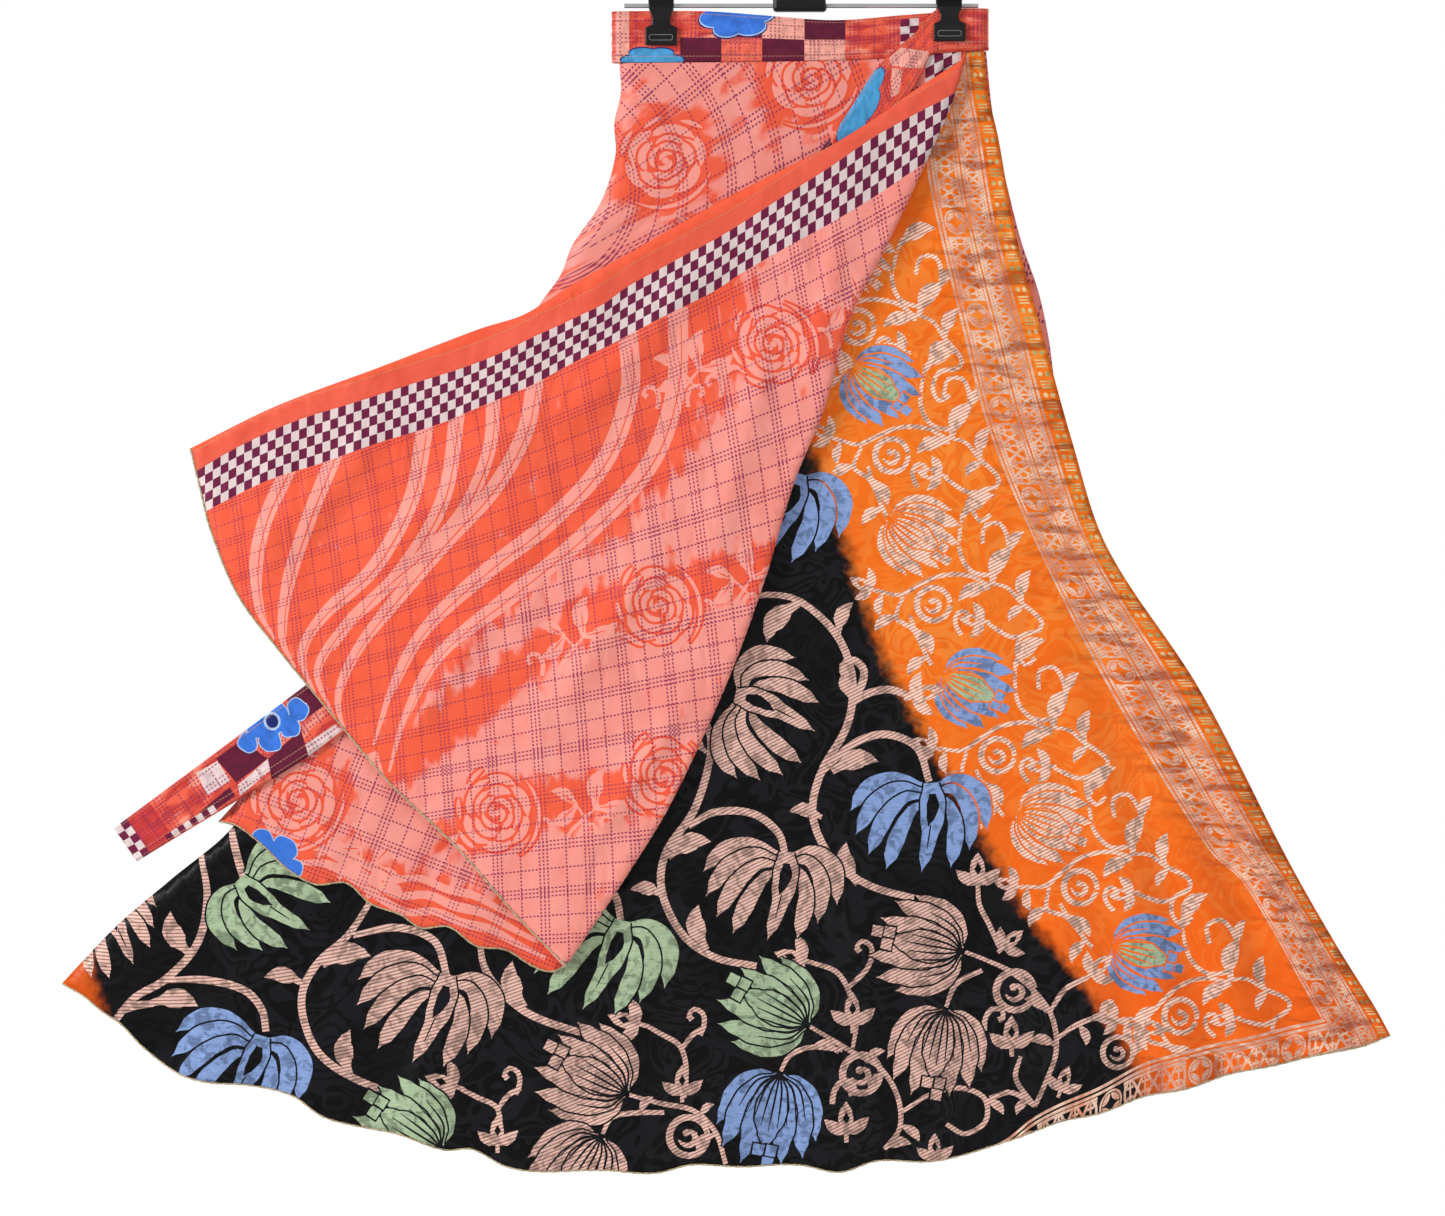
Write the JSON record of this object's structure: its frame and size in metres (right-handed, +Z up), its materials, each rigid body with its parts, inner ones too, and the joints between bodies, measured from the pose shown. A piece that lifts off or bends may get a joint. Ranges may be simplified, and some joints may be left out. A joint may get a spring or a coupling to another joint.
{
  "type": "wrap skirt on a clip hanger",
  "caption": "Long reversible wrap skirt of two printed cloth layers, its front flap folded back and its tie hanging free, clipped by the waistband to a hanger.",
  "frame": {"origin": "inside of the hook's crown, where a rail carries the hanger", "axes": "+Z up, the skirt's front faces -Y, +X to the right as the front is seen"},
  "size_m": [1.0381, 0.0304, 1.0253],
  "materials": {
    "outer_cloth": "satin",
    "under_cloth": "satin",
    "band_cloth": "satin",
    "hanger_metal": "polished",
    "hanger_plastic": "satin"
  },
  "bodies": {
    "root": {"hanger_hook": "hanger_metal", "hanger_rod": "hanger_metal", "hanger_block": "hanger_plastic", "clip_left": "hanger_plastic", "clip_right": "hanger_plastic", "waistband": "band_cloth", "tie_strap": "band_cloth", "outer_front": "outer_cloth", "outer_back": "outer_cloth", "under_front": "under_cloth", "under_back": "under_cloth"}
  },
  "joints": []
}
